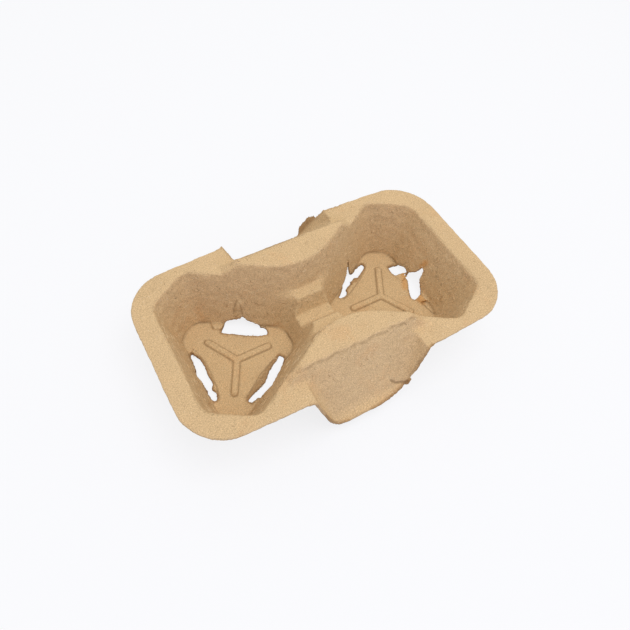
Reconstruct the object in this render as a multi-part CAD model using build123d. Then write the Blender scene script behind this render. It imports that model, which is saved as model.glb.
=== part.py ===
import os
from math import atan2, degrees, radians, sqrt, tan

from build123d import *

# Sheet of moulded paper pulp, and the room that every cutting block runs past it
sheet = 1.9
overrun = 20.0

# Two cup wells with three long walls each and a narrow one across every corner, one of them towards the middle
well_pitch = 110.0
well_depth = 37.5
wall_draft = 18.5
floor_apothem = 25.5
corner_reach = 12.0
corner_radius = 9.0
upright_share = 0.5

# Rim around the wells
end_rim = 12.9
side_rim = 5.9
side_bow = 3.2
rim_corner_radius = 28.0

# Bridge between the wells: two ledges with a channel sunk between them
ledge_drop = 11.5
ledge_half_gap = 15.5
channel_drop = 22.0
channel_half_width = 4.0
channel_riser = 5.0

# Raised back on each long side, and the grip that falls away outside it
crest_rise = 8.0
crest_half_length = 36.0
crest_slope = 10.0
ridge_inset = 18.1
ridge_round = 3.0
least_bend_share = 0.25
grip_angle = 60.0
grip_drop = 31.0
grip_half_width = 37.0
grip_draft = 23.0
grip_corner_radius = 6.0
lip_reach = 4.8
lip_round = 8.0
tongue_half_width = 23.0
tongue_corner_radius = 8.0
tongue_ear = 1.5
ear_rise = 0.9
ear_length = 9.0

# Three-armed bead on each floor
bead_length = 24.6
bead_half_width = 2.3
bead_rise = 1.2
bead_slope = 35.0

# Slots along the foot of each wall, each torn on into a notch and a slit up the wall
slot_length = 37.0
slot_inner = 19.2
slot_outer = 25.0
slot_bulge = 1.4
slot_corner_radius = 1.5
notch_half_width = 5.5
notch_rise = 6.5
slit_half_width = 0.6
slit_rise = 18.0

# Crack in from the right edge of the near tongue
crack_length = 7.0
crack_width = 2.5

# Heights above the table
floor_top = sheet
rim_top = floor_top + well_depth
ledge_top = rim_top - ledge_drop
channel_top = rim_top - channel_drop
crest_top = rim_top + crest_rise
lip_top = rim_top - grip_drop
block_top = crest_top + overrun

# Sizes that follow from the ones above
draft_share = tan(radians(wall_draft))
half_pitch = well_pitch / 2
mouth_apothem = floor_apothem + well_depth * draft_share
half_length = half_pitch + mouth_apothem + end_rim
mouth_half_width = (2 * mouth_apothem + corner_reach) / sqrt(3)
half_width = mouth_half_width + side_rim + side_bow * (half_pitch / half_length) ** 2
ridge_y = half_width - ridge_inset
foot_y = ridge_y + crest_rise / tan(radians(grip_angle))
heel_y = foot_y + grip_drop / tan(radians(grip_angle))
tongue_y = heel_y + lip_reach
crest_angle = degrees(atan2(crest_rise, crest_slope))
riser_angle = degrees(atan2(channel_drop - ledge_drop, channel_riser))


def inset(skin, angle):
    return skin * tan(radians(angle) / 2)


def hexagon(apothem):
    reach = apothem + corner_reach
    half = (apothem - corner_reach) / sqrt(3)
    corners = [Vector(reach, side * half).rotate(Axis.Z, turn) for turn in (0, 120, 240) for side in (-1, 1)]
    return make_face(Polyline(*corners, close=True))


def outline():
    end_y = half_width - side_bow
    far_side = ThreePointArc((-half_length, end_y), (0, half_width), (half_length, end_y))
    right_end = Line((half_length, end_y), (half_length, -end_y))
    rim = make_face([far_side, right_end, mirror(far_side, Plane.XZ), mirror(right_end, Plane.YZ)])
    rim = fillet(rim.vertices(), rim_corner_radius)
    root_x = grip_half_width + tongue_ear
    root_y = half_width - side_bow * (root_x / half_length) ** 2 + ear_rise
    ear_x = root_x + ear_length
    ear_y = half_width - side_bow * (ear_x / half_length) ** 2 - ear_rise
    tongue = Polyline((-ear_x, 0), (-ear_x, ear_y), (-root_x, root_y), (-tongue_half_width, tongue_y),
                      (tongue_half_width, tongue_y), (root_x, root_y), (ear_x, ear_y), (ear_x, 0), close=True)
    tongue = make_face(tongue)
    tongue = fillet(tongue.vertices().group_by(Axis.Y)[-1], tongue_corner_radius)
    return rim + tongue + mirror(tongue, Plane.XZ)


# A hollow narrows from its mouth downwards
def hollow(mouth, depth):
    return mirror(extrude(mouth, depth, taper=wall_draft), Plane.XY)


def rising(body):
    return body.edges().filter_by(lambda edge: abs(edge.tangent_at(0.5).Z) > upright_share)


def cavity(skin):
    grow = inset(skin, 90 - wall_draft)
    ledge_apothem = floor_apothem + (ledge_top - floor_top) * draft_share + grow
    well = hollow(hexagon(ledge_apothem), ledge_top - floor_top)
    well = fillet(rising(well), corner_radius + skin)
    # The crease is tight inside a well and rounded under it by the sheet's own thickness
    if skin > 0:
        well = fillet(well.faces().sort_by(Axis.Z)[0].edges(), skin)
    well = Pos(-half_pitch, 0, ledge_top - skin) * well
    ledge_waist_y = (2 * ledge_apothem - half_pitch) / sqrt(3)
    ledge_waist_radius = (ledge_half_gap + grow - ledge_waist_y) / (2 / sqrt(3) - 1)
    spread = (block_top - ledge_top) * draft_share
    apothem = ledge_apothem + spread
    end_x = half_pitch + apothem
    end_y = (apothem + 2 * corner_reach) / sqrt(3)
    side_x = half_pitch + corner_reach
    side_y = (2 * apothem + corner_reach) / sqrt(3)
    waist_y = (2 * apothem - half_pitch) / sqrt(3)
    far_half = [(end_x, end_y), (side_x, side_y), (0, waist_y), (-side_x, side_y), (-end_x, end_y)]
    near_half = [(-x, -y) for x, y in far_half]
    bone = make_face(Polyline(*far_half, *near_half, close=True))
    waist = bone.vertices().filter_by_position(Axis.X, -sheet, sheet)
    bone = fillet(waist, ledge_waist_radius - spread)
    bone = hollow(bone, block_top - ledge_top)
    corners = rising(bone).filter_by(lambda edge: abs((edge @ 0.5).X) > half_pitch)
    bone = Pos(0, 0, block_top - skin) * fillet(corners, corner_radius + skin)
    low = channel_half_width + inset(skin, riser_angle)
    high = low + 2 * channel_riser
    bed = channel_top - skin
    brow = 2 * ledge_top - channel_top - skin
    trench = Polyline((-low, bed), (low, bed), (high, brow), (-high, brow), close=True)
    trench = extrude(make_face(Plane.YZ * trench), half_pitch / 2, both=True)
    return bone + well + mirror(well, Plane.YZ) + trench


def hump(skin):
    side_inset = inset(skin, grip_angle)
    end_inset = inset(skin, crest_angle)
    crest = crest_top - skin
    rim = rim_top - skin
    ridge = ridge_y - side_inset
    foot = foot_y - side_inset
    across = Polyline((-foot, rim), (-ridge, crest), (ridge, crest), (foot, rim), close=True)
    across = make_face(Plane.YZ * across)
    bend = max(ridge_round - skin, ridge_round * least_bend_share)
    across = fillet(across.vertices().group_by(Axis.Z)[-1], bend)
    top_x = crest_half_length - end_inset
    foot_x = top_x + crest_slope
    along = Polyline((-foot_x, rim), (-top_x, crest), (top_x, crest), (foot_x, rim), close=True)
    along = make_face(Plane.XZ * along)
    return extrude(across, foot_x, both=True) & extrude(along, foot, both=True)


def grip(skin):
    foot = foot_y - inset(skin, grip_angle)
    heel = heel_y - inset(skin, grip_angle)
    wide = grip_half_width + inset(skin, 90 - grip_draft)
    narrow = wide - grip_drop * tan(radians(grip_draft))
    lip = lip_top - skin
    top = rim_top - skin + overrun
    flare = wide + overrun * tan(radians(grip_draft))
    outside = tongue_y + overrun
    inside = foot - overrun / tan(radians(grip_angle))
    fall = Polyline((inside, top), (heel, lip), (outside, lip), (outside, top), close=True)
    fall = make_face(Plane.YZ * fall)
    fall = fillet(fall.vertices().sort_by_distance((0, heel, lip))[0], lip_round + skin)
    gap = Polyline((narrow, lip), (flare, top), (-flare, top), (-narrow, lip), close=True)
    gap = make_face(Plane.XZ * gap)
    pocket = extrude(fall, flare, both=True) & extrude(gap, outside, both=True)
    corners = pocket.edges().filter_by(lambda edge: abs((edge @ 0.5).X) > narrow - sheet
                                       and (edge @ 0.5).Z < top - sheet
                                       and (edge @ 0.5).Y < outside - sheet)
    return fillet(corners, grip_corner_radius + skin)


def bead(skin):
    half = bead_half_width - inset(skin, 90 - bead_slope)
    reach = bead_length - half
    arm = Pos(reach / 2, 0) * SlotCenterToCenter(reach, 2 * half)
    arm = extrude(arm, bead_rise, taper=bead_slope)
    arms = arm + Rot(0, 0, 120) * arm + Rot(0, 0, 240) * arm
    return Pos(-half_pitch, 0, floor_top - skin) * arms


def slots():
    half = slot_length / 2
    edge = slot_inner + slot_bulge
    inner = ThreePointArc((edge, -half), (slot_inner, 0), (edge, half))
    outer = Polyline((edge, half), (slot_outer, half), (slot_outer, -half), (edge, -half))
    mouth = make_face([inner, outer])
    mouth = fillet(mouth.vertices(), slot_corner_radius)
    hole = Pos(0, 0, -overrun) * extrude(mouth, overrun + ledge_top)
    knee = floor_top + notch_rise
    dart = Polyline((-notch_half_width, floor_top), (-slit_half_width, knee), (0, floor_top + slit_rise),
                    (slit_half_width, knee), (notch_half_width, floor_top), close=True)
    dart = extrude(make_face(Plane.YZ * dart), slot_outer + slit_rise * draft_share - slot_inner)
    hole = hole + Pos(slot_inner, 0, 0) * dart
    holes = [Rot(0, 0, turn) * hole for turn in (60, 180, 300)]
    return [Pos(-half_pitch, 0, 0) * each for each in holes]


def ground(skin, base):
    arms = bead(skin)
    pocket = grip(skin)
    body = base + hump(skin) - cavity(skin) - pocket - mirror(pocket, Plane.XZ)
    return body + arms + mirror(arms, Plane.YZ)


# The sheet is what lies between its upper face and the same form sunk by its thickness
upper_base = Pos(0, 0, -overrun / 2) * extrude(outline(), rim_top + overrun / 2)
under_base = Box(4 * half_length, 4 * half_width, rim_top - sheet + overrun,
                 align=(Align.CENTER, Align.CENTER, Align.MIN))
under_base = Pos(0, 0, -overrun) * under_base
carrier = ground(0, upper_base) - ground(sheet, under_base)
for hole in slots():
    carrier = carrier - hole - mirror(hole, Plane.YZ)

# The near tongue is cracked at its right end
crack = Polyline((grip_half_width, -heel_y - crack_width), (grip_half_width, -heel_y),
                 (tongue_half_width - crack_length, -heel_y), close=True)
crack = Pos(0, 0, -overrun) * extrude(make_face(crack), overrun + ledge_top)
carrier = carrier - crack

os.makedirs("parts", exist_ok=True)
export_step(carrier, "parts/carrier.step")
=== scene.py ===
import math
import bmesh
import bpy
import numpy as np
from mathutils import Matrix, Vector, noise


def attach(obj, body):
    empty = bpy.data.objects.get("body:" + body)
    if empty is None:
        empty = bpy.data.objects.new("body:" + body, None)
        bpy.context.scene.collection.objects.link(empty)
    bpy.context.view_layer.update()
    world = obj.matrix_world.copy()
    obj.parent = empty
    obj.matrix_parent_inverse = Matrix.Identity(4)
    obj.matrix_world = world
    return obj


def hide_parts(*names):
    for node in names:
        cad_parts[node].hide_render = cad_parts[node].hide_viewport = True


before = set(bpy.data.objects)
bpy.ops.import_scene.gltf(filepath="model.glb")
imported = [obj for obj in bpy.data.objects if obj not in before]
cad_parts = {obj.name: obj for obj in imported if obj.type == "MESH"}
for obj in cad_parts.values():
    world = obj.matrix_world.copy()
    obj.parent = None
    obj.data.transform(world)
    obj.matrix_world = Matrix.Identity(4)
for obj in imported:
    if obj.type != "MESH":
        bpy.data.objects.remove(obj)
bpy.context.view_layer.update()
scene = bpy.context.scene
scene.view_settings.view_transform = "Standard"
print("frame loaded")

# Sizes of the carrier that the torn places follow, in millimetres and degrees
mm = 0.001
tray = {
    "wellX": 55.0,
    "floorApothem": 25.5,
    "cornerReach": 12.0,
    "cornerRadius": 9.0,
    "cornerTurns": (0, 120, 240),
    "wallTurns": (60, 180, 300),
    "floorTop": 1.9,
    "rimTop": 39.4,
    "sheet": 1.9,
    "draft": 18.5,
    "halfLength": 105.9,
    "halfWidth": 56.6,
    "rimCorner": 28.0,
    "ridgeY": 39.5,
    "beadLength": 24.6,
    "beadHalf": 2.3,
}
draftShare = math.tan(math.radians(tray["draft"]))
wallThick = tray["sheet"] / math.cos(math.radians(tray["draft"]))
mouthApothem = tray["floorApothem"] + (tray["rimTop"] - tray["floorTop"]) * draftShare
farAway = 99.0  # given as the distance where a mark doesn't reach

# Node helpers
mixSockets = {"first": 6, "second": 7, "result": 2}  # the colour sockets of a Mix node


def addNode(tree, kind, x, y, **values):
    node = tree.nodes.new(kind)
    node.location = (x, y)
    for key, value in values.items():
        setattr(node, key, value)
    return node


def link(tree, source, target):
    tree.links.new(source, target)


def setInput(tree, socket, value):
    if isinstance(value, (int, float, tuple)):
        socket.default_value = value
    else:
        link(tree, value, socket)


def mathNode(tree, operation, x, y, first, second=None):
    node = addNode(tree, "ShaderNodeMath", x, y, operation=operation)
    setInput(tree, node.inputs[0], first)
    if second is not None:
        setInput(tree, node.inputs[1], second)
    return node.outputs[0]


def noiseNode(tree, x, y, vector, scale, detail, rough, **values):
    node = addNode(tree, "ShaderNodeTexNoise", x, y, **values)
    node.inputs["Scale"].default_value = scale
    node.inputs["Detail"].default_value = detail
    node.inputs["Roughness"].default_value = rough
    link(tree, vector, node.inputs["Vector"])
    return node


def mixColor(tree, x, y, factor, first, second):
    node = addNode(tree, "ShaderNodeMix", x, y, data_type="RGBA")
    setInput(tree, node.inputs["Factor"], factor)
    setInput(tree, node.inputs[mixSockets["first"]], first)
    setInput(tree, node.inputs[mixSockets["second"]], second)
    return node.outputs[mixSockets["result"]]


def bandNode(tree, x, y, source, band, top=1.0):
    node = addNode(tree, "ShaderNodeMapRange", x, y, interpolation_type="SMOOTHSTEP")
    node.inputs["From Min"].default_value = band[0]
    node.inputs["From Max"].default_value = band[1]
    node.inputs["To Max"].default_value = top
    link(tree, source, node.inputs["Value"])
    return node.outputs[0]


def swingNode(tree, x, y, source, amount):
    shift = mathNode(tree, "SUBTRACT", x, y, source, 0.5)
    return mathNode(tree, "MULTIPLY", x + 160, y, shift, amount)


# Shared shader group: clouds and mottling of the tone, specks, and the height of the pressed grain
fleckInputs = (
    ("Base", "NodeSocketColor", (0.6, 0.42, 0.23, 1.0)),
    ("Dark Speck", "NodeSocketColor", (0.17, 0.10, 0.05, 1.0)),
    ("Pale Speck", "NodeSocketColor", (0.80, 0.66, 0.45, 1.0)),
    ("Warm", "NodeSocketColor", (0.60, 0.365, 0.18, 1.0)),
    ("Cloud", "NodeSocketFloat", 0.16),
    ("Mottle", "NodeSocketFloat", 1.6),
    ("Speck Share", "NodeSocketFloat", 0.5),
)
fleckLook = {
    "cloud": (60.0, 4.0, 0.6),  # each noise has its scale, detail and roughness
    "mottle": (1500.0, 3.0, 0.7),
    "warm": (42.0, 5.0, 0.65),
    "warmBand": (0.52, 0.70),
    "warmShare": 0.4,
    "grain": (1300.0, 4.0, 0.5),
    "fibre": (420.0, 6.0, 0.5),
    "fibreBend": 1.6,
    "speckTurn": (0.4, 0.9, 0.6),
    "darkSpecks": {"noise": (900.0, 2.0, 0.5), "stretch": (1.0, 2.2, 1.4), "band": (0.70, 0.745)},
    "paleSpecks": {"noise": (560.0, 2.0, 0.5), "stretch": (2.4, 1.0, 1.7), "band": (0.66, 0.76)},
}


def speckMask(tree, place, specks, x, y):
    turn = addNode(tree, "ShaderNodeMapping", x, y)
    turn.inputs["Scale"].default_value = specks["stretch"]
    turn.inputs["Rotation"].default_value = fleckLook["speckTurn"]
    link(tree, place, turn.inputs["Vector"])
    speck = noiseNode(tree, x + 200, y, turn.outputs[0], *specks["noise"])
    return bandNode(tree, x + 400, y, speck.outputs["Fac"], specks["band"])


def makeFleckGroup(look):
    group = bpy.data.node_groups.new("pulpFleck", "ShaderNodeTree")
    for name, kind, value in fleckInputs:
        socket = group.interface.new_socket(name=name, in_out="INPUT", socket_type=kind)
        socket.default_value = value
    group.interface.new_socket(name="Color", in_out="OUTPUT", socket_type="NodeSocketColor")
    group.interface.new_socket(name="Height", in_out="OUTPUT", socket_type="NodeSocketFloat")
    start = addNode(group, "NodeGroupInput", -1500, 0)
    end = addNode(group, "NodeGroupOutput", 900, 0)
    place = addNode(group, "ShaderNodeTexCoord", -1500, -300).outputs["Object"]

    cloud = noiseNode(group, -1100, 450, place, *look["cloud"]).outputs["Fac"]
    mottle = noiseNode(group, -1100, 200, place, *look["mottle"]).outputs["Fac"]
    cloudSwing = swingNode(group, -900, 450, cloud, start.outputs["Cloud"])
    mottleSwing = swingNode(group, -900, 200, mottle, start.outputs["Mottle"])
    swing = mathNode(group, "ADD", -540, 320, cloudSwing, mottleSwing)
    level = mathNode(group, "ADD", -380, 320, swing, 1.0)
    patches = noiseNode(group, -1100, 700, place, *look["warm"]).outputs["Fac"]
    warmth = bandNode(group, -900, 700, patches, look["warmBand"], look["warmShare"])
    warmed = mixColor(group, -400, 600, warmth, start.outputs["Base"], start.outputs["Warm"])
    toned = addNode(group, "ShaderNodeVectorMath", -200, 320, operation="SCALE")
    link(group, warmed, toned.inputs[0])
    link(group, level, toned.inputs["Scale"])

    color = toned.outputs[0]
    for key, name, y in (("paleSpecks", "Pale Speck", 0), ("darkSpecks", "Dark Speck", -260)):
        mask = speckMask(group, place, look[key], -1200, y)
        share = mathNode(group, "MULTIPLY", -560, y, mask, start.outputs["Speck Share"])
        color = mixColor(group, -y, 150, share, color, start.outputs[name])
    link(group, color, end.inputs["Color"])

    grain = noiseNode(group, -500, -500, place, *look["grain"]).outputs["Fac"]
    fibre = noiseNode(group, -500, -720, place, *look["fibre"])
    fibre.inputs["Distortion"].default_value = look["fibreBend"]
    both = mathNode(group, "ADD", -250, -600, grain, fibre.outputs["Fac"])
    link(group, both, end.inputs["Height"])
    return group


fleckGroup = makeFleckGroup(fleckLook)

# Pulp material: pressed skin, browner where it is torn, orange on raw scraps, and painted shade that darkens
# it along the creases
pulpLook = {
    "skin": (0.60, 0.425, 0.235, 1.0),
    "torn": (0.36, 0.215, 0.10, 1.0),
    "raw": (0.60, 0.345, 0.145, 1.0),
    "tornCloud": 0.4,
    # painted shade: the dark colour mixed in along creases, grooves and cracks, and how much of it
    "crease": (0.24, 0.15, 0.075, 1.0),
    "creaseShare": 0.7,
    "paleFibre": (0.76, 0.575, 0.35, 1.0),
    "darkFibre": (0.31, 0.195, 0.095, 1.0),
    "darkShare": 0.4,
    "leastFibre": 0.01,
    "roughness": 0.95,
    "specular": 0.12,
    "grainDepth": 0.22 * mm,
}


def maskNode(tree, name, x, y):
    return addNode(tree, "ShaderNodeAttribute", x, y, attribute_name=name).outputs["Fac"]


def makePulp(name, look):
    material = bpy.data.materials.new(name)
    material.use_nodes = True
    tree = material.node_tree
    tree.nodes.clear()
    out = addNode(tree, "ShaderNodeOutputMaterial", 1000, 0)
    shade = addNode(tree, "ShaderNodeBsdfPrincipled", 700, 0)
    shade.inputs["Roughness"].default_value = look["roughness"]
    shade.inputs["Specular IOR Level"].default_value = look["specular"]
    link(tree, shade.outputs[0], out.inputs["Surface"])
    skin = addNode(tree, "ShaderNodeGroup", -500, 200, node_tree=fleckGroup)
    skin.inputs["Base"].default_value = look["skin"]
    color = skin.outputs["Color"]
    for index, key in enumerate(("torn", "raw")):
        patch = addNode(tree, "ShaderNodeGroup", -500, -100 - 300 * index, node_tree=fleckGroup)
        patch.inputs["Base"].default_value = look[key]
        patch.inputs["Warm"].default_value = look[key]
        patch.inputs["Cloud"].default_value = look["tornCloud"]
        mask = maskNode(tree, key, -500, 450 + 200 * index)
        color = mixColor(tree, -150 + 200 * index, 150, mask, color, patch.outputs["Color"])
    # Painted shade: the crease mask mixes the dark colour in where creases, grooves and cracks would be in
    # shade
    crease = mathNode(tree, "MULTIPLY", 200, 450, maskNode(tree, "crease", 0, 450), look["creaseShare"])
    color = mixColor(tree, 400, 150, crease, color, look["crease"])
    hair = maskNode(tree, "fibre", 200, 700)
    pale = mathNode(tree, "GREATER_THAN", 300, 700, hair, look["darkShare"])
    hairTone = mixColor(tree, 400, 500, pale, look["darkFibre"], look["paleFibre"])
    onHair = mathNode(tree, "GREATER_THAN", 400, 800, hair, look["leastFibre"])
    color = mixColor(tree, 560, 250, onHair, color, hairTone)
    link(tree, color, shade.inputs["Base Color"])
    bump = addNode(tree, "ShaderNodeBump", 300, -250)
    bump.inputs["Strength"].default_value = 1.0
    bump.inputs["Distance"].default_value = look["grainDepth"]
    link(tree, skin.outputs["Height"], bump.inputs["Height"])
    link(tree, bump.outputs[0], shade.inputs["Normal"])
    return material


pulp = makePulp("pulp", pulpLook)
print("pulp material made")


# Mesh helpers
def bake(obj):
    bpy.context.view_layer.update()
    graph = bpy.context.evaluated_depsgraph_get()
    mesh = bpy.data.meshes.new_from_object(obj.evaluated_get(graph))
    obj.modifiers.clear()
    obj.data = mesh
    return obj


def newObject(name, bm):
    bmesh.ops.recalc_face_normals(bm, faces=bm.faces)
    mesh = bpy.data.meshes.new(name)
    bm.to_mesh(mesh)
    bm.free()
    obj = bpy.data.objects.new(name, mesh)
    scene.collection.objects.link(obj)
    return obj


def closeRings(bm, rings):
    count = len(rings[0])
    bm.faces.new(rings[0])
    bm.faces.new(rings[1])
    for i in range(count):
        j = (i + 1) % count
        bm.faces.new((rings[0][i], rings[0][j], rings[1][j], rings[1][i]))


# A place beside a well wall: along it, out from the well's middle, and up
def wallPlace(spot, along, out, up):
    angle = math.radians(spot["turn"])
    x = out * math.cos(angle) - along * math.sin(angle) - tray["wellX"]
    y = out * math.sin(angle) + along * math.cos(angle)
    return Vector((-spot["well"] * x, y, up)) * mm


def wallCoordinates(spot, points):
    angle = math.radians(spot["turn"])
    x = -spot["well"] * points[:, 0] + tray["wellX"]
    y = points[:, 1]
    along = y * math.cos(angle) - x * math.sin(angle)
    out = x * math.cos(angle) + y * math.sin(angle)
    return along, out


# Torn openings: each edge has places along the slot, and its reach out over the floor and up the wall
tears = {
    "leftFar": {
        "well": -1, "turn": 60, "seed": 3.0,
        "inner": [(-18.8, 20.3), (-15, 18.9), (-12.2, 18.4), (-0.9, 18.5), (11.2, 19.3)],
        "outer": [(-18.8, 21.5), (-17.5, 24.3), (-14, 25.2), (-10.2, 27), (-4, 29.5), (-1.8, 32.4),
                  (-0.6, 30.4), (4, 29.3), (8.5, 27.6), (9.5, 25), (11.2, 20.5)],
    },
    "leftEnd": {
        "well": -1, "turn": 180, "seed": 7.0,
        "inner": [(-16.5, 23.4), (-14, 21.8), (-11, 20.2), (-4, 19.8), (1, 20.4), (8, 20.2), (11, 22.2),
                  (14.3, 20.6), (18.6, 22)],
        "outer": [(-16.5, 24.6), (-4, 25.3), (-2, 30.5), (2, 30.8), (4, 25.3), (18.6, 24.8)],
    },
    "leftNear": {
        "well": -1, "turn": 300, "seed": 12.0,
        "inner": [(-18.8, 20.2), (-14.3, 20.8), (-8, 22), (-3.2, 22.6), (1, 22), (5, 21), (18.3, 20.5)],
        "outer": [(-18.8, 22.8), (-14, 24), (-12, 26.5), (-9, 31), (-6, 34.5), (-2, 33.5), (3, 31),
                  (7.5, 29), (11, 25.8), (18.3, 24)],
    },
    "rightMiddle": {
        "well": 1, "turn": 60, "seed": 18.0,
        "inner": [(-17, 22.8), (-14.5, 20.8), (-12.5, 20.4), (-10, 21), (-8.3, 22.8), (-3.6, 22.4),
                  (-1.4, 21.4), (0, 23.4), (1.2, 20.4), (6.6, 20.2), (16.6, 20.5), (17.6, 22)],
        "outer": [(-17, 23.6), (-7.9, 25), (-3, 27.5), (0.3, 30.5), (2.6, 36), (3.5, 40.7), (4.3, 40.7),
                  (3.5, 36), (2.2, 30.5), (3.2, 27), (6.5, 24.6), (11, 25), (17.6, 23.4)],
    },
    "rightNear": {
        "well": 1, "turn": 300, "seed": 31.0,
        "inner": [(-18.3, 20.8), (-13, 19.4), (-4, 19.2), (3, 20.6), (8, 19.6), (18.2, 21)],
        "outer": [(-18.3, 23.2), (-12, 24.8), (-6, 25.3), (-3.5, 29), (-1, 32), (2, 29.5), (5, 25.4),
                  (18.2, 24)],
    },
    "rightEndFar": {
        "well": 1, "turn": 180, "seed": 23.0,
        "inner": [(-18.2, 19.2), (-14, 18.6), (-10, 19.6), (-8.4, 23), (-7.2, 26.5)],
        "outer": [(-18.2, 23.4), (-17, 25.4), (-11.5, 28.8), (-7.2, 28.4)],
    },
    "rightEndNear": {
        "well": 1, "turn": 180, "seed": 27.0,
        "inner": [(-6.4, 27.8), (-4.5, 26.2), (-2.9, 25.3), (0.5, 23.4), (4.5, 21), (8, 19.4),
                  (11.4, 18.8), (13, 20.4)],
        "outer": [(-6.4, 28.9), (-4.4, 31), (-2.4, 33.4), (-0.6, 39.6), (0.6, 39.2), (1.8, 37),
                  (3.3, 31.9), (7.5, 28.6), (10.4, 25.6), (13, 24.2)],
    },
}
tearLook = {
    "step": 0.7,
    "ragged": 0.5,
    "rag": ((1.0, 0.9, 0.0), (0.6, 2.3, 5.0)),  # size, pitch and layer of each noise
    "outerSeed": 40.0,
    "leastGap": 0.3,
    "leastRun": 2,
    "footOverrun": 2.5,
    "under": -3.0,
    "floorCut": 2.6,
    "wallFrom": 25.2,
    "wallTo": 36.0,
}


def edgeLine(points, along):
    places, reaches = zip(*points)
    return np.interp(along, places, reaches)


def ragAt(along, seed, rag):
    return sum(size * noise.noise(Vector((along * pitch, seed, layer))) for size, pitch, layer in rag)


def edgeReach(points, along, seed):
    rag = [ragAt(float(t), seed, tearLook["rag"]) for t in along]
    return edgeLine(points, along) + tearLook["ragged"] * np.array(rag)


def addPrism(bm, outline, low, high, spot, upright):
    rings = []
    for depth in (low, high):
        if upright:
            rings.append([bm.verts.new(wallPlace(spot, t, side, depth)) for t, side in outline])
        else:
            rings.append([bm.verts.new(wallPlace(spot, t, depth, side)) for t, side in outline])
    closeRings(bm, rings)


def tearCutters(name, tear):
    look = tearLook
    foot = tray["floorApothem"]
    first, last = tear["inner"][0][0], tear["inner"][-1][0]
    along = np.linspace(first, last, int((last - first) / look["step"]))
    inner = edgeReach(tear["inner"], along, tear["seed"])
    outer = edgeReach(tear["outer"], along, tear["seed"] + look["outerSeed"])
    outer = np.maximum(outer, inner + look["leastGap"])
    bm = bmesh.new()
    near = [(t, min(s, foot)) for t, s in zip(along, inner)]
    far = [(t, s if s < foot else foot + look["footOverrun"]) for t, s in zip(along, outer)]
    addPrism(bm, near + far[::-1], look["under"], look["floorCut"], tear, True)
    parts = [newObject(name + "Floor", bm)]
    high = outer > foot
    starts = [i for i in range(len(along)) if high[i] and (i == 0 or not high[i - 1])]
    for start in starts:
        stop = start
        while stop + 1 < len(along) and high[stop + 1]:
            stop += 1
        if stop - start < look["leastRun"]:
            continue
        run = slice(start, stop + 1)
        top = [(t, tray["floorTop"] + s - foot) for t, s in zip(along[run], outer[run])]
        base = [(along[stop], look["under"]), (along[start], look["under"])]
        bm = bmesh.new()
        addPrism(bm, top + base, look["wallFrom"], look["wallTo"], tear, False)
        parts.append(newObject(name + "Wall", bm))
    return parts


# The moulded slots are first closed again, then torn open along the ragged edges
plugLook = {
    "halfLength": 19.3,
    "inner": 18.4,
    "outer": 26.2,
    "dartHalf": 6.4,
    "dartLow": -0.4,
    "dartHigh": 20.5,
    "drop": {"leftNear": 0.5},
    "without": ("rightEndNear",),  # its slot is closed by the plug of rightEndFar
}


def addPlug(bm, name, tear):
    look = plugLook
    half = look["halfLength"]
    drop = look["drop"].get(name, 0.0)
    slab = [(-half, look["inner"]), (half, look["inner"]), (half, look["outer"]), (-half, look["outer"])]
    addPrism(bm, slab, 0.0, tray["floorTop"] - drop, tear, True)
    rings = []
    for thick in (0.0, wallThick):
        ring = []
        for side, key in ((-1, "dartLow"), (1, "dartLow"), (1, "dartHigh"), (-1, "dartHigh")):
            out = tray["floorApothem"] + look[key] * draftShare + thick
            place = wallPlace(tear, side * look["dartHalf"], out, tray["floorTop"] + look[key])
            ring.append(bm.verts.new(place))
        rings.append(ring)
    closeRings(bm, rings)


# The right edge of the far grip is torn rough, and the corners of the near one are worn back
edgeTears = {
    "farEdge": {
        "line": [(49.0, 56.6), (43.0, 56.9), (38.3, 56.9), (34.2, 59.4), (30.0, 62.0), (23.0, 66.4),
                 (18.0, 67.6)],
        "ragged": 0.5, "high": 55.0, "seed": 33.0, "torn": 0.4,
    },
    "nearCorner": {
        "line": [(27.5, -65.0), (26.0, -63.3), (19.7, -64.9), (11.3, -66.2), (5.0, -67.4)],
        "ragged": 0.6, "high": 20.0, "seed": 38.0, "torn": 1.0,
    },
    "nearLeftCorner": {
        "line": [(-31.0, -62.4), (-27.5, -63.7), (-25.0, -64.7), (-22.5, -65.6), (-20.0, -66.3),
                 (-15.0, -67.2)],
        "ragged": 0.15, "high": 20.0, "seed": 42.0, "torn": 0.8,
    },
}
edgeLook = {"step": 0.6, "low": -5.0, "beyond": 75.0, "rag": ((1.0, 0.6), (0.5, 1.9))}


def edgeCutter(name, edge):
    corners = [Vector(corner) for corner in edge["line"]]
    outline = []
    for first, last in zip(corners, corners[1:]):
        count = int((last - first).length / edgeLook["step"])
        for i in range(count):
            place = first.lerp(last, i / count)
            rag = sum(size * noise.noise(Vector((place.x * pitch, place.y * pitch, edge["seed"])))
                      for size, pitch in edgeLook["rag"])
            outline.append((place.x, place.y + edge["ragged"] * rag))
    beyond = math.copysign(edgeLook["beyond"], edge["line"][0][1])
    outline += [(edge["line"][-1][0], beyond), (edge["line"][0][0], beyond)]
    bm = bmesh.new()
    closeRings(bm, [[bm.verts.new(Vector((x, y, height)) * mm) for x, y in outline]
                    for height in (edgeLook["low"], edge["high"])])
    return newObject(name, bm)


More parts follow.
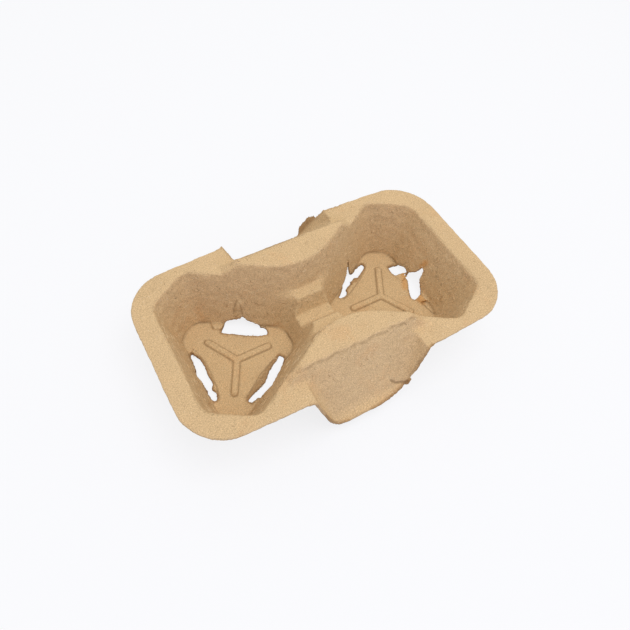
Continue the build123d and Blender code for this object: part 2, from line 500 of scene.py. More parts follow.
weldDistance = 0.002 * mm
cutters = [cutter for name, tear in tears.items() for cutter in tearCutters(name, tear)]
cutters += [edgeCutter(name, edge) for name, edge in edgeTears.items()]
bm = bmesh.new()
for name, tear in tears.items():
    if name not in plugLook["without"]:
        addPlug(bm, name, tear)
plugs = newObject("plugs", bm)
bm = bmesh.new()
bm.from_mesh(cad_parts["carrier"].data)
bmesh.ops.remove_doubles(bm, verts=bm.verts, dist=weldDistance)
sheet = newObject("carrierSheet", bm)
for obj in (sheet, plugs):
    for cutter in cutters:
        cut = obj.modifiers.new("tear", "BOOLEAN")
        cut.operation = "DIFFERENCE"
        cut.solver = "EXACT"
        cut.use_self = obj is plugs
        cut.object = cutter
    bake(obj)
for cutter in cutters:
    bpy.data.objects.remove(cutter)
print("slots torn open", len(sheet.data.polygons), len(plugs.data.polygons))

# Scraps left in the openings, from root to tip as (out, up); slope and flare are per millimetre along
scraps = [
    {"well": -1, "turn": 60, "span": (9.6, 18.0), "root": (25.2, 2.2), "tip": (20.2, 2.8),
     "lift": 1.1, "seed": 3.0},
    {"well": -1, "turn": 180, "span": (-18.2, -13.0), "root": (20.0, 1.6), "tip": (23.8, 2.8),
     "lift": 0.8, "seed": 5.0},
    {"well": 1, "turn": 60, "span": (-3.0, 5.0), "root": (20.4, 1.4), "tip": (23.2, 0.8),
     "lift": 0.4, "seed": 8.0},
    {"well": 1, "turn": 180, "span": (-9.4, -3.6), "root": (18.6, 1.6), "tip": (26.6, 3.6),
     "lift": 1.2, "seed": 21.0},
    {"well": 1, "turn": 180, "span": (11.6, 18.0), "root": (26.0, 3.4), "tip": (20.0, 2.4),
     "lift": 1.0, "seed": 25.0},
    {"well": 1, "turn": 90, "span": (-29.5, -20.9), "root": (64.3, 10.1), "tip": (69.5, 10.6),
     "lift": 0.3, "seed": 14.0, "slope": (-0.628, 2.356), "flare": 0.25, "thickness": 3.6},  # on the far grip
]
scrapLook = {
    "thickness": 1.2,
    "thinning": 0.4,
    "rows": 10,
    "columns": 26,
    "ripple": 0.35,
    "ripplePitch": (0.4, 3.0),
    "fullReach": 0.85,
    "leastReach": 0.12,
    "endSteepness": 4.0,
    "rag": ((0.35, 0.55, 0.0), (0.22, 1.7, 4.0)),
}


def scrapReach(scrap, share, along):
    look = scrapLook
    edge = min(1.0, look["endSteepness"] * min(share, 1.0 - share)) ** 0.5
    return max(look["leastReach"], edge * (look["fullReach"] + ragAt(along, scrap["seed"], look["rag"])))


def scrapPlace(scrap, side, along, v):
    look = scrapLook
    gain = along - scrap["span"][0]
    slopeOut, slopeUp = scrap.get("slope", (0.0, 0.0))
    thickness = scrap.get("thickness", look["thickness"])
    out = scrap["root"][0] + (scrap["tip"][0] - scrap["root"][0]) * v
    out += (slopeOut + scrap.get("flare", 0.0) * v) * gain
    up = scrap["root"][1] + (scrap["tip"][1] - scrap["root"][1]) * v + slopeUp * gain
    up += scrap["lift"] * math.sin(math.pi * v) + side * thickness * (1.0 - look["thinning"] * v)
    pitchAlong, pitchOut = look["ripplePitch"]
    up += look["ripple"] * noise.noise(Vector((along * pitchAlong, v * pitchOut, scrap["seed"])))
    return wallPlace(scrap, along, out, up)


def addScrap(bm, scrap):
    rows, columns = scrapLook["rows"], scrapLook["columns"]
    low, high = scrap["span"]
    layers = []
    for side in (0.5, -0.5):
        layer = []
        for i in range(columns + 1):
            along = low + (high - low) * i / columns
            reach = scrapReach(scrap, i / columns, along)
            layer.append([bm.verts.new(scrapPlace(scrap, side, along, j / rows * reach))
                          for j in range(rows + 1)])
        layers.append(layer)
    top, under = layers
    for i in range(columns):
        for j in range(rows):
            bm.faces.new((top[i][j], top[i + 1][j], top[i + 1][j + 1], top[i][j + 1]))
            bm.faces.new((under[i][j], under[i][j + 1], under[i + 1][j + 1], under[i + 1][j]))
        bm.faces.new((top[i][0], under[i][0], under[i + 1][0], top[i + 1][0]))
        bm.faces.new((top[i][rows], top[i + 1][rows], under[i + 1][rows], under[i][rows]))
    for j in range(rows):
        bm.faces.new((top[0][j], top[0][j + 1], under[0][j + 1], under[0][j]))
        bm.faces.new((top[columns][j], under[columns][j], under[columns][j + 1], top[columns][j + 1]))


# One skin from the sheet, the closed slots and the scraps
sheetLook = {"voxel": 0.7 * mm, "faceTarget": 155000}
bm = bmesh.new()
for scrap in scraps:
    addScrap(bm, scrap)
bmesh.ops.recalc_face_normals(bm, faces=bm.faces)
bm.from_mesh(sheet.data)
bm.from_mesh(plugs.data)
bm.to_mesh(sheet.data)
bm.free()
bpy.data.objects.remove(plugs)
remesh = sheet.modifiers.new("oneSkin", "REMESH")
remesh.mode = "VOXEL"
remesh.voxel_size = sheetLook["voxel"]
remesh.use_smooth_shade = True
bake(sheet)
print("sheet remeshed", len(sheet.data.polygons))


# Measures for the masks, in millimetres
def smoothStep(low, high, value):
    share = np.clip((value - low) / (high - low), 0.0, 1.0)
    return share * share * (3.0 - 2.0 * share)


def fade(band, gap):
    return 1.0 - smoothStep(*band, gap)


def heading(turn):
    return np.array((math.cos(math.radians(turn)), math.sin(math.radians(turn))))


def readPlaces(mesh):
    flat = np.empty(len(mesh.vertices) * 3)
    mesh.vertices.foreach_get("co", flat)
    return flat.reshape(-1, 3) / mm


def keepAboveTable(mesh):
    points = readPlaces(mesh)
    points[:, 2] = np.maximum(points[:, 2], 0.0)
    mesh.vertices.foreach_set("co", (points * mm).ravel())
    mesh.update()


def setMask(mesh, name, values):
    layer = mesh.attributes.new(name, "FLOAT", "POINT")
    layer.data.foreach_set("value", values.astype(np.float32))


def chainDistance(place, corners):
    best = np.full(len(place), farAway)
    for start, stop in zip(corners, corners[1:]):
        start, side = np.array(start), np.array(stop) - np.array(start)
        share = np.clip((place - start) @ side / (side @ side), 0.0, 1.0)
        best = np.minimum(best, np.linalg.norm(place - start - share[:, None] * side, axis=1))
    return best


def planDistance(line, points):
    return chainDistance(points[:, :2], line)


def rimDistance(points):
    corner = tray["rimCorner"]
    spare = np.abs(points[:, :2]) - np.array((tray["halfLength"] - corner, tray["halfWidth"] - corner))
    return np.linalg.norm(np.maximum(spare, 0.0), axis=1) + np.minimum(spare.max(axis=1), 0.0) - corner


# The outer edge of both tongues: straight across, then slanting back
tongueLook = {"corner": (23.0, 66.84), "slant": (0.491, 0.871), "from": 57.0}


def tongueDistance(points):
    spare = np.abs(points[:, :2]) - np.array(tongueLook["corner"])
    return np.maximum(spare[:, 1], spare @ np.array(tongueLook["slant"]))


# The same measure as in the torn edges, with the part of a well in which it holds
markBand = {
    "footUp": 0.6,
    "footIn": 0.5,
    "out": (12.0, 38.0),
    "low": -1.2,
    "lineHigh": 24.0,
    "tearHigh": 22.0,
}


def markPlaces(spot, points):
    along, out = wallCoordinates(spot, points)
    up = points[:, 2] - tray["floorTop"]
    foot = tray["floorApothem"]
    onWall = (up > markBand["footUp"]) & (out > foot - markBand["footIn"])
    near, far = markBand["out"]
    return along, np.where(onWall, foot + up, out), up, (out > near) & (out < far)


def tearDistance(tear, points):
    along, reach, up, inBand = markPlaces(tear, points)
    first, last = tear["inner"][0][0], tear["inner"][-1][0]
    beside = np.maximum(np.maximum(first - along, along - last), 0.0)
    short = edgeLine(tear["inner"], along) - reach
    long = reach - edgeLine(tear["outer"], along)
    distance = np.hypot(beside, np.maximum(np.maximum(short, long), 0.0))
    return np.where(inBand & (up < markBand["tearHigh"]), distance, farAway)


def lineDistance(mark, points):
    along, reach, up, inBand = markPlaces(mark, points)
    distance = chainDistance(np.stack([along, reach], axis=1), mark["line"])
    inWell = inBand & (np.sign(points[:, 0]) == mark["well"])
    return np.where(inWell & (up > markBand["low"]) & (up < markBand["lineHigh"]), distance, farAway)


# Distance in plan to the edge of a well, at its floor or at its mouth, outside a core that has no edge
coreSpare = 1.0


def wellPlaces(points):
    return np.stack([tray["wellX"] - np.abs(points[:, 0]), points[:, 1]], axis=1)


def wellDistance(points, apothem):
    radius = tray["cornerRadius"]
    apothem = apothem - radius
    reach = apothem + tray["cornerReach"]
    half = (2.0 * apothem - reach) / math.sqrt(3)
    place = wellPlaces(points)
    corners = []
    for turn in tray["cornerTurns"]:
        out = heading(turn)
        side = np.array((-out[1], out[0]))
        corners += [reach * out - half * side, reach * out + half * side]
    distance = chainDistance(place, corners + corners[:1])
    sides = [place @ heading(turn) for turn in tray["wallTurns"]]
    return np.where(np.max(sides, axis=0) > apothem + coreSpare, distance - radius, -farAway)


def beadDistance(points):
    place = wellPlaces(points)
    best = np.full(len(points), farAway)
    for turn in tray["cornerTurns"]:
        out = heading(turn)
        share = np.clip(place @ out, 0.0, tray["beadLength"] - tray["beadHalf"])
        best = np.minimum(best, np.linalg.norm(place - share[:, None] * out, axis=1))
    return best - tray["beadHalf"]


# Soft bends at the mouths of the wells, and rounder tips on the ledges of the bridge
bendLook = {
    "rimBand": (2.5, 6.0),
    "backBand": (1.0, 5.0),
    "endBand": (44.0, 50.0),
    "mouthBand": (30.5, 35.0),
    "tipInner": (9.0, 12.0),
    "tipOuter": (36.0, 28.0),
    "tipLow": (20.0, 23.0),
    "tipHigh": (35.0, 32.0),
    "rounds": {"soft": 14, "tips": 160},
    "weights": 10,
    "factor": 0.5,
}


def bendMasks(points):
    look = bendLook
    x, y, z = np.abs(points[:, 0]), np.abs(points[:, 1]), points[:, 2]
    inside = smoothStep(*look["rimBand"], -rimDistance(points))
    middle = smoothStep(*look["backBand"], tray["ridgeY"] - y)
    mouth = smoothStep(*look["mouthBand"], z) * np.maximum(middle, smoothStep(*look["endBand"], x))
    tips = smoothStep(*look["tipInner"], x) * smoothStep(*look["tipOuter"], x)
    tips = tips * smoothStep(*look["tipLow"], z) * smoothStep(*look["tipHigh"], z)
    return {"soft": inside * mouth, "tips": inside * tips}


for name, mask in bendMasks(readPlaces(sheet.data)).items():
    weights = bendLook["weights"]
    group = sheet.vertex_groups.new(name=name)
    for step in range(1, weights + 1):
        picked = np.nonzero(np.round(mask * weights) == step)[0]
        group.add(picked.tolist(), step / weights, "REPLACE")
    smooth = sheet.modifiers.new(name, "SMOOTH")
    smooth.iterations = bendLook["rounds"][name]
    smooth.factor = bendLook["factor"]
    smooth.vertex_group = name
bake(sheet)
print("bends softened")

# Torn places: the tears, a strip along one opening, the edges of the tongues and the flap on the far grip
stripLook = {
    "well": -1, "turn": 300, "band": (0.9, 1.6), "share": 0.75,
    "line": [(17.0, 20.2), (8.2, 19.6), (-0.6, 19.6), (-10.2, 19.8), (-17.5, 19.6)],
}
flapLook = {"line": [(26.0, 66.6), (30.0, 65.2), (34.0, 62.6)], "band": (1.6, 2.6), "share": 0.2}
tornLook = {"tears": (0.5, 1.6), "edges": (0.8, 1.8), "tongue": (0.5, 1.6), "tongueShares": (0.9, 0.35)}


def tornMask(points):
    look = tornLook
    opened = fade(look["tears"], np.min([tearDistance(tear, points) for tear in tears.values()], axis=0))
    strip = stripLook["share"] * fade(stripLook["band"], lineDistance(stripLook, points))
    tongue = fade(look["tongue"], -tongueDistance(points)) * (np.abs(points[:, 1]) > tongueLook["from"])
    tongue = tongue * np.where(points[:, 0] > 0.0, *look["tongueShares"])
    edges = [edge["torn"] * fade(look["edges"], planDistance(edge["line"], points))
             for edge in edgeTears.values()]
    flap = flapLook["share"] * fade(flapLook["band"], planDistance(flapLook["line"], points))
    return np.max([opened, strip, tongue, *edges, flap], axis=0)


# Bare orange places on the scraps of one opening
rawLines = [
    {"well": 1, "turn": 180, "line": [(-6.6, 23.6), (-3.0, 22.0), (1.6, 19.8)]},
    {"well": 1, "turn": 180, "line": [(13.2, 22.0), (16.8, 23.0)]},
    {"well": 1, "turn": 180, "line": [(-1.4, 40.5), (-0.8, 44.5)]},
]
rawBand = (1.4, 2.6)


def rawMask(points):
    return fade(rawBand, np.min([lineDistance(mark, points) for mark in rawLines], axis=0))


# Lines pressed or torn around the openings, each with its depth; along them a groove is sunk and shade is
# painted
creaseLines = [
    {"well": -1, "turn": 60, "depth": 0.65,
     "line": [(4.0, 34.5), (4.1, 38.0), (3.4, 42.0), (2.2, 44.6)]},
    {"well": -1, "turn": 60, "depth": 0.7,
     "line": [(2.6, 44.2), (0.6, 43.4), (-0.4, 40.5), (-1.0, 37.0), (-1.8, 33.0)]},
    {"well": -1, "turn": 60, "depth": 0.5,
     "line": [(3.8, 36.6), (2.4, 37.8), (0.8, 37.9), (-0.8, 36.6)]},
    {"well": -1, "turn": 180, "depth": 0.8,
     "line": [(-14.0, 20.0), (-8.0, 18.6), (1.0, 18.4), (10.0, 18.8), (17.5, 20.4)]},
    {"well": -1, "turn": 300, "depth": 0.9,
     "line": [(17.0, 19.8), (8.2, 18.4), (-0.6, 17.5), (-10.2, 18.2), (-17.5, 18.8)]},
    {"well": 1, "turn": 60, "depth": 0.8,
     "line": [(18.6, 20.6), (12.0, 18.8), (5.0, 18.4), (-3.0, 18.6), (-10.0, 18.8), (-16.5, 20.2)]},
    {"well": 1, "turn": 180, "depth": 0.6, "line": [(-18.5, 26.5), (-12.0, 30.5), (-7.0, 30.2)]},
    {"well": 1, "turn": 180, "depth": 0.6, "line": [(13.5, 26.6), (18.0, 27.0), (24.0, 26.2), (29.0, 25.5)]},
    {"well": 1, "turn": 180, "depth": 1.0, "line": [(17.6, 22.4), (24.4, 23.8), (28.0, 24.4)]},
]
lineBand = (0.15, 0.7)


def lineCreaseShade(points):
    lines = [mark["depth"] * fade(lineBand, lineDistance(mark, points)) for mark in creaseLines]
    return np.max(lines, axis=0)


# Crease round the floor, uneven and fading at the near corner, and the lines beside the bead; along them a
# groove is sunk and shade is painted, beside the raised bead in place of its shadow
footLook = {
    "band": (0.1, 0.8),
    "heights": (1.0, 3.6),
    "mean": 0.65,
    "swing": 0.35,
    "waveX": (0.33, 0.8),  # pitch and shift
    "waveY": (0.29, 1.9),
    "nearCorner": (-0.5, -math.sqrt(0.75)),
    "nearBand": (24.0, 29.0),
    "nearFade": 0.75,
    "beadOut": 0.1,
    "beadBand": (0.1, 0.7),
    "beadShare": 0.75,
}


def footCreaseShade(points):
    look = footLook
    x, y, z = points.T
    (pitchX, shiftX), (pitchY, shiftY) = look["waveX"], look["waveY"]
    uneven = look["mean"] + look["swing"] * np.sin(pitchX * x + shiftX) * np.sin(pitchY * y + shiftY)
    foot = uneven * fade(look["band"], np.abs(wellDistance(points, tray["floorApothem"])))
    bead = look["beadShare"] * fade(look["beadBand"], np.abs(beadDistance(points) - look["beadOut"]))
    towardsX, towardsY = look["nearCorner"]
    near = smoothStep(*look["nearBand"], (tray["wellX"] - np.abs(x)) * towardsX + y * towardsY)
    low, high = look["heights"]
    return np.where((z > low) & (z < high), np.maximum(foot, bead) * (1.0 - look["nearFade"] * near), 0.0)


# Broken line along the mouths of the wells, sunk a little and darkened with painted shade
mouthLook = {
    "out": 0.6,
    "band": (0.15, 0.6),
    "heights": (35.0, 37.0),
    "from": 32.0,
    "share": 0.4,
    "waveX": (0.21, 0.9),
    "waveY": (0.17, 0.4),  # pitch across, and pitch along that slants it
    "level": 0.2,
    "gapBand": (0.0, 0.8),
}


def mouthCreaseShade(points):
    look = mouthLook
    x, y, z = points.T
    line = fade(look["band"], np.abs(wellDistance(points, mouthApothem) - look["out"]))
    line = line * smoothStep(*look["heights"], z) * (np.abs(x) > look["from"])
    (pitchX, shiftX), (pitchY, slantY) = look["waveX"], look["waveY"]
    broken = np.sin(pitchX * x + shiftX) + np.sin(pitchY * y + slantY * x) - look["level"]
    return look["share"] * line * smoothStep(*look["gapBand"], broken)


# Wavering line where each back turns over into its grip, sunk a little and darkened with painted shade
ridgeLook = {
    "out": 0.8,
    "sway": 0.4,
    "swayPitch": 0.5,
    "band": (0.2, 0.9),
    "heights": (43.0, 45.0),
    "mean": 0.5,
    "swing": 0.15,
    "pitch": 0.7,
    "drift": 2.0,
    "driftPitch": 0.23,
}


def ridgeCreaseShade(points):
    look = ridgeLook
    x, y, z = points.T
    gap = np.abs(np.abs(y) - tray["ridgeY"] - look["out"] - look["sway"] * np.sin(look["swayPitch"] * x))
    line = fade(look["band"], gap) * smoothStep(*look["heights"], z)
    wave = np.sin(look["pitch"] * x + look["drift"] * np.sin(look["driftPitch"] * x))
    return line * (look["mean"] + look["swing"] * wave)


# Crack in the near tongue, and the line inside its right edge, both sunk a little and darkened with painted
# shade
crackLook = {
    "line": [(18.0, -58.3), (20.8, -60.0), (24.2, -61.4), (25.8, -62.8)],
    "band": (0.2, 0.7),
    "under": 30.0,
    "hemInset": 1.8,
    "hemBand": (0.15, 0.6),
    "hemFrom": (24.0, -50.0),
    "hemShare": 0.6,
}


def crackCreaseShade(points):
    look = crackLook
    x, y, z = points.T
    hem = fade(look["hemBand"], np.abs(tongueDistance(points) + look["hemInset"]))
    hem = look["hemShare"] * hem * (x > look["hemFrom"][0]) * (y < look["hemFrom"][1])
    crack = fade(look["band"], planDistance(look["line"], points))
    return np.where(z < look["under"], np.maximum(crack, hem), 0.0)


# Outer edges that stay free of fibres, and the puffed sheet above one opening
bareBand = (-4.0, -2.5)
puffLook = {"well": -1, "turn": 60, "line": [(1.6, 34.0), (0.9, 42.5)], "band": (0.0, 3.0), "rise": 1.4}


def bareMask(points):
    onTongue = np.abs(points[:, 1]) > tongueLook["from"]
    outside = np.maximum(rimDistance(points), np.where(onTongue, tongueDistance(points), -farAway))
    return smoothStep(*bareBand, outside)


def puffMask(points):
    return fade(puffLook["band"], lineDistance(puffLook, points)) * puffLook["rise"] * mm


creases = (footCreaseShade, ridgeCreaseShade, lineCreaseShade, crackCreaseShade, mouthCreaseShade)
places = readPlaces(sheet.data)
setMask(sheet.data, "torn", tornMask(places))
setMask(sheet.data, "raw", rawMask(places))
# The crease mask both sinks grooves in the relief and paints shade into the colour
setMask(sheet.data, "crease", np.max([crease(places) for crease in creases], axis=0))
setMask(sheet.data, "bare", bareMask(places))
setMask(sheet.data, "puff", puffMask(places))
print("torn and creased places marked")

# Geometry Nodes helpers: a tree has one named input for each value of its piece
socketKinds = {
    float: "NodeSocketFloat",
    int: "NodeSocketInt",
    bpy.types.Material: "NodeSocketMaterial",
}


def newTree(name, look):
    tree = bpy.data.node_groups.new(name, "GeometryNodeTree")
    tree.interface.new_socket(name="Geometry", in_out="INPUT", socket_type="NodeSocketGeometry")
    for label, value in look.items():
        tree.interface.new_socket(name=label, in_out="INPUT", socket_type=socketKinds[type(value)])
    tree.interface.new_socket(name="Geometry", in_out="OUTPUT", socket_type="NodeSocketGeometry")
    start = addNode(tree, "NodeGroupInput", -1200, 0)
    end = addNode(tree, "NodeGroupOutput", 800, 0)
    return tree, start, end


def useTree(obj, tree, look):
    modifier = obj.modifiers.new(tree.name, "NODES")
    modifier.node_group = tree
    for item in tree.interface.items_tree:
        if item.item_type == "SOCKET" and item.in_out == "INPUT" and item.name in look:
            modifier[item.identifier] = look[item.name]


def vectorNode(tree, operation, x, y, first, second):
    node = addNode(tree, "ShaderNodeVectorMath", x, y, operation=operation)
    setInput(tree, node.inputs[0], first)
    setInput(tree, node.inputs["Scale" if operation == "SCALE" else 1], second)
    return node.outputs[0]


def centredVector(tree, x, y, source, scale):
    less = vectorNode(tree, "SUBTRACT", x, y, source.outputs["Color"], (0.5, 0.5, 0.5))
    return vectorNode(tree, "SCALE", x + 180, y, less, scale)


def namedMask(tree, name, x, y):
    node = addNode(tree, "GeometryNodeInputNamedAttribute", x, y, data_type="FLOAT")
    node.inputs["Name"].default_value = name
    return node.outputs["Attribute"]


def upwardNode(tree, x, y):
    parts = addNode(tree, "ShaderNodeSeparateXYZ", x + 160, y)
    link(tree, addNode(tree, "GeometryNodeInputNormal", x, y).outputs[0], parts.inputs[0])
    return parts.outputs["Z"]


# Gain that grows from a share of its full value on flat faces to the whole of it on upright ones
steepLook = {"full": 4.0, "band": (0.4, 0.9)}


def steepGain(tree, flatShare, x, y):
    gain = addNode(tree, "ShaderNodeMapRange", x + 480, y)
    gain.inputs["From Min"].default_value = steepLook["band"][0]
    gain.inputs["From Max"].default_value = steepLook["band"][1]
    gain.inputs["To Min"].default_value = steepLook["full"]
    link(tree, mathNode(tree, "ABSOLUTE", x + 320, y, upwardNode(tree, x, y)), gain.inputs["Value"])
    flat = mathNode(tree, "MULTIPLY", x + 320, y - 160, flatShare, steepLook["full"])
    link(tree, flat, gain.inputs["To Max"])
    return gain.outputs[0]


# Relief: slow warp of the sheet, lumps and grain on its faces, ragged torn edges, sunk creases
reliefLook = {
    "waviness": 0.7 * mm,
    "lumps": 0.30 * mm,
    "grain": 0.14 * mm,
    "raggedness": 0.7 * mm,
    "groove": 0.4 * mm,
    "flatShare": 0.5,
    "seed": 4.0,
}
reliefNoises = {
    "warp": (26.0, 1.0, 0.5),  # scale, detail and roughness
    "lumps": (190.0, 2.0, 0.5),
    "grain": (520.0, 4.0, 0.65),
    "rag": (420.0, 3.0, 0.7),
}


def makeRelief(look):
    tree, start, end = newTree("pulpRelief", look)
    place = addNode(tree, "GeometryNodeInputPosition", -1200, -300).outputs[0]
    normal = addNode(tree, "GeometryNodeInputNormal", -1200, -420).outputs[0]
    waves = {}
    for index, (name, values) in enumerate(reliefNoises.items()):
        waves[name] = noiseNode(tree, -950, 500 - 250 * index, place, *values, noise_dimensions="4D")
        link(tree, start.outputs["seed"], waves[name].inputs["W"])
    warp = centredVector(tree, -700, 500, waves["warp"], start.outputs["waviness"])
    torn = namedMask(tree, "torn", -950, -700)
    ragSize = mathNode(tree, "MULTIPLY", -700, -650, torn, start.outputs["raggedness"])
    rag = centredVector(tree, -500, -480, waves["rag"], ragSize)
    lumps = swingNode(tree, -700, 250, waves["lumps"].outputs["Fac"], start.outputs["lumps"])
    grain = swingNode(tree, -700, 0, waves["grain"].outputs["Fac"], start.outputs["grain"])
    height = mathNode(tree, "ADD", -360, 120, lumps, grain)
    steep = steepGain(tree, start.outputs["flatShare"], -700, -900)
    raised = mathNode(tree, "MULTIPLY", -220, 120, height, steep)
    crease = namedMask(tree, "crease", -560, -200)
    groove = mathNode(tree, "MULTIPLY", -360, -100, crease, start.outputs["groove"])
    sunk = mathNode(tree, "SUBTRACT", -80, 60, raised, groove)
    level = mathNode(tree, "ADD", 0, -60, sunk, namedMask(tree, "puff", -200, -260))
    lift = vectorNode(tree, "SCALE", 80, 60, normal, level)
    warped = vectorNode(tree, "ADD", 240, 160, warp, lift)
    move = addNode(tree, "GeometryNodeSetPosition", 580, 0)
    link(tree, start.outputs["Geometry"], move.inputs["Geometry"])
    link(tree, vectorNode(tree, "ADD", 400, 60, warped, rag), move.inputs["Offset"])
    link(tree, move.outputs[0], end.inputs["Geometry"])
    return tree


def triangleCount(mesh):
    return sum(len(face.vertices) - 2 for face in mesh.polygons)


useTree(sheet, makeRelief(reliefLook), reliefLook)
thin = sheet.modifiers.new("fewerFaces", "DECIMATE")
thin.ratio = min(1.0, sheetLook["faceTarget"] / triangleCount(sheet.data))
bake(sheet)
keepAboveTable(sheet.data)
print("relief made", len(sheet.data.polygons))

# Loose fibres that lie on the upper face, some pale and some dark
fibreLook = {
    "density": 62000.0,
    "flatShare": 0.3,
    "length": 3.2 * mm,
    "bend": 0.8 * mm,
    "radius": 0.17 * mm,
    "upward": -0.2,
    "seed": 6,
    "material": pulp,
}
fibreShape = {
    "bends": 2,
    "sides": 3,
    "sizes": (0.35, 1.25),
    "tones": (0.05, 1.0),
    "turns": (0.0, 2.0 * math.pi),
}


def randomNode(tree, x, y, limits, seed):
    node = addNode(tree, "FunctionNodeRandomValue", x, y, data_type="FLOAT")
    node.inputs["Min"].default_value = limits[0]
    node.inputs["Max"].default_value = limits[1]
    link(tree, seed, node.inputs["Seed"])
    return node.outputs["Value"]


def fibreTube(tree, start):
    ends = {
        "Start": ("X", mathNode(tree, "MULTIPLY", -1000, -860, start.outputs["length"], -0.5)),
        "Middle": ("Y", start.outputs["bend"]),
        "End": ("X", mathNode(tree, "MULTIPLY", -1000, -700, start.outputs["length"], 0.5)),
    }
    hair = addNode(tree, "GeometryNodeCurveQuadraticBezier", -600, -600)
    hair.inputs["Resolution"].default_value = fibreShape["bends"]
    for index, (socket, (axis, value)) in enumerate(ends.items()):
        corner = addNode(tree, "ShaderNodeCombineXYZ", -800, -600 - 140 * index)
        link(tree, value, corner.inputs[axis])
        link(tree, corner.outputs[0], hair.inputs[socket])
    ring = addNode(tree, "GeometryNodeCurvePrimitiveCircle", -600, -900)
    ring.inputs["Resolution"].default_value = fibreShape["sides"]
    link(tree, start.outputs["radius"], ring.inputs["Radius"])
    tube = addNode(tree, "GeometryNodeCurveToMesh", -400, -700)
    link(tree, hair.outputs[0], tube.inputs["Curve"])
    link(tree, ring.outputs["Curve"], tube.inputs["Profile Curve"])
    return tube.outputs[0]


def fibrePoints(tree, start):
    faceUp = addNode(tree, "FunctionNodeCompare", -800, -300, data_type="FLOAT", operation="GREATER_THAN")
    link(tree, upwardNode(tree, -1200, -300), faceUp.inputs[0])
    link(tree, start.outputs["upward"], faceUp.inputs[1])
    gain = steepGain(tree, start.outputs["flatShare"], -1500, -100)
    steep = mathNode(tree, "DIVIDE", -800, -100, gain, steepLook["full"])
    covered = mathNode(tree, "SUBTRACT", -800, 60, 1.0, namedMask(tree, "bare", -1000, 60))
    crowd = mathNode(tree, "MULTIPLY", -700, -20, start.outputs["density"], steep)
    points = addNode(tree, "GeometryNodeDistributePointsOnFaces", -600, -100)
    link(tree, start.outputs["Geometry"], points.inputs["Mesh"])
    link(tree, faceUp.outputs[0], points.inputs["Selection"])
    link(tree, mathNode(tree, "MULTIPLY", -620, 60, crowd, covered), points.inputs["Density"])
    link(tree, start.outputs["seed"], points.inputs["Seed"])
    return points


def makeFibres(look):
    tree, start, end = newTree("looseFibres", look)
    seed = start.outputs["seed"]
    points = fibrePoints(tree, start)
    spin = addNode(tree, "FunctionNodeAxisAngleToRotation", -400, -350)
    spin.inputs["Axis"].default_value = (0.0, 0.0, 1.0)
    link(tree, randomNode(tree, -600, -350, fibreShape["turns"], seed), spin.inputs["Angle"])
    turned = addNode(tree, "FunctionNodeRotateRotation", -200, -300, rotation_space="LOCAL")
    link(tree, points.outputs["Rotation"], turned.inputs["Rotation"])
    link(tree, spin.outputs["Rotation"], turned.inputs["Rotate By"])
    laid = addNode(tree, "GeometryNodeInstanceOnPoints", 0, -200)
    link(tree, points.outputs["Points"], laid.inputs["Points"])
    link(tree, fibreTube(tree, start), laid.inputs["Instance"])
    link(tree, turned.outputs[0], laid.inputs["Rotation"])
    link(tree, randomNode(tree, -400, -500, fibreShape["sizes"], seed), laid.inputs["Scale"])
    marked = addNode(tree, "GeometryNodeStoreNamedAttribute", 180, -200, data_type="FLOAT", domain="INSTANCE")
    marked.inputs["Name"].default_value = "fibre"
    link(tree, laid.outputs[0], marked.inputs["Geometry"])
    link(tree, randomNode(tree, 0, -450, fibreShape["tones"], seed), marked.inputs["Value"])
    real = addNode(tree, "GeometryNodeRealizeInstances", 360, -200)
    link(tree, marked.outputs[0], real.inputs[0])
    both = addNode(tree, "GeometryNodeJoinGeometry", 480, 0)
    link(tree, real.outputs[0], both.inputs[0])
    link(tree, start.outputs["Geometry"], both.inputs[0])
    dressed = addNode(tree, "GeometryNodeSetMaterial", 620, 0)
    link(tree, both.outputs[0], dressed.inputs["Geometry"])
    link(tree, start.outputs["material"], dressed.inputs["Material"])
    link(tree, dressed.outputs[0], end.inputs["Geometry"])
    return tree


useTree(sheet, makeFibres(fibreLook), fibreLook)
bake(sheet)
keepAboveTable(sheet.data)
sheet.data.shade_smooth()
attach(sheet, "root")
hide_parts("carrier")
print("sheet finished, triangles", triangleCount(sheet.data))

# Floor: plain pale, a little brighter to the camera than to the light that it bounces
floorLook = {
    "size": 6.0,
    "tone": (0.74, 0.76, 0.84, 1.0),
    "shown": (0.995, 0.995, 1.0, 1.0),
    "shownShare": 0.8,
}


def makeFloorPaper(look):
    material = bpy.data.materials.new("floorPaper")
    material.use_nodes = True
    tree = material.node_tree
    tree.nodes.clear()
    out = addNode(tree, "ShaderNodeOutputMaterial", 500, 0)
    matte = addNode(tree, "ShaderNodeBsdfDiffuse", 0, 100)
    matte.inputs["Color"].default_value = look["tone"]
    glow = addNode(tree, "ShaderNodeEmission", 0, -50)
    glow.inputs["Color"].default_value = look["shown"]
    path = addNode(tree, "ShaderNodeLightPath", -300, 300)
    join = addNode(tree, "ShaderNodeMixShader", 250, 0)
    share = mathNode(tree, "MULTIPLY", 0, 300, path.outputs["Is Camera Ray"], look["shownShare"])
    for index, source in enumerate((share, matte.outputs[0], glow.outputs[0])):
        link(tree, source, join.inputs[index])
    link(tree, join.outputs[0], out.inputs["Surface"])
    return material


half = floorLook["size"] / 2
floorMesh = bpy.data.meshes.new("floor")
floorCorners = [(-half, -half, 0), (half, -half, 0), (half, half, 0), (-half, half, 0)]
floorMesh.from_pydata(floorCorners, [], [(0, 1, 2, 3)])
floorMesh.materials.append(makeFloorPaper(floorLook))
floor = bpy.data.objects.new("floor", floorMesh)
scene.collection.objects.link(floor)
print("floor made")

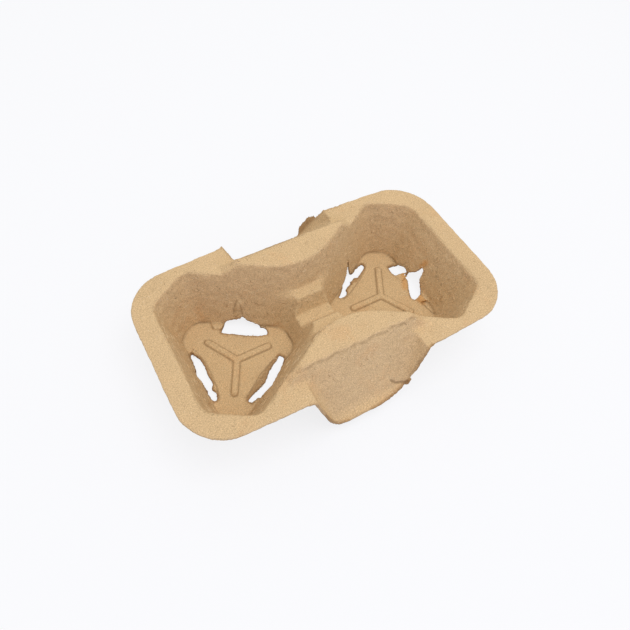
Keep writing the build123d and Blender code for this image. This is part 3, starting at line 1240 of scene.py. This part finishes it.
# Soft light from overhead, with a weak blue fill from the near left and an even room
lights = {
    "key": {"place": (0.12, -0.10, 1.15), "size": 1.0, "power": 6.3, "color": (1.0, 0.97, 0.92)},
    "fill": {"place": (-0.35, -1.0, 0.45), "size": 0.8, "power": 1.0, "color": (0.20, 0.18, 1.0)},
}
lightAim = Vector((0, 0, 0.02))
roomLook = {"Color": (1.0, 1.0, 1.0, 1.0), "Strength": 0.74}
for name, look in lights.items():
    lamp = bpy.data.lights.new(name, "AREA")
    lamp.shape = "DISK"
    lamp.size = look["size"]
    lamp.energy = look["power"]
    lamp.color = look["color"]
    holder = bpy.data.objects.new(name, lamp)
    holder.location = look["place"]
    holder.rotation_euler = (lightAim - holder.location).to_track_quat("-Z", "Y").to_euler()
    scene.collection.objects.link(holder)
world = bpy.data.worlds.new("room")
world.use_nodes = True
for key, value in roomLook.items():
    world.node_tree.nodes["Background"].inputs[key].default_value = value
scene.world = world
print("light set")

# Camera fitted to the photo
view = {
    "turn": -32.5,
    "rise": 58.25,
    "roll": 5.51,
    "away": 304.0 * mm,
    "aim": (-38.94 * mm, 3.43 * mm, 39.4 * mm),
    "lens": 30.115,
    "sensor": 36.0,
    "shiftX": 0.0873,
    "clipStart": 10.0 * mm,
}
turn, rise, roll = (math.radians(view[key]) for key in ("turn", "rise", "roll"))
back = Vector((math.sin(turn) * math.cos(rise), -math.cos(turn) * math.cos(rise), math.sin(rise)))
level = Vector((0, 0, 1)).cross(back).normalized()
steep = back.cross(level)
right = level * math.cos(roll) + steep * math.sin(roll)
up = steep * math.cos(roll) - level * math.sin(roll)
eye = Vector(view["aim"]) + back * view["away"]
cameraData = bpy.data.cameras.new("camera")
cameraData.sensor_width = view["sensor"]
cameraData.lens = view["lens"]
cameraData.shift_x = view["shiftX"]
cameraData.clip_start = view["clipStart"]
camera = bpy.data.objects.new("camera", cameraData)
camera.matrix_world = Matrix(((right.x, up.x, back.x, eye.x), (right.y, up.y, back.y, eye.y),
                              (right.z, up.z, back.z, eye.z), (0, 0, 0, 1)))
scene.collection.objects.link(camera)
scene.camera = camera
print("camera set")
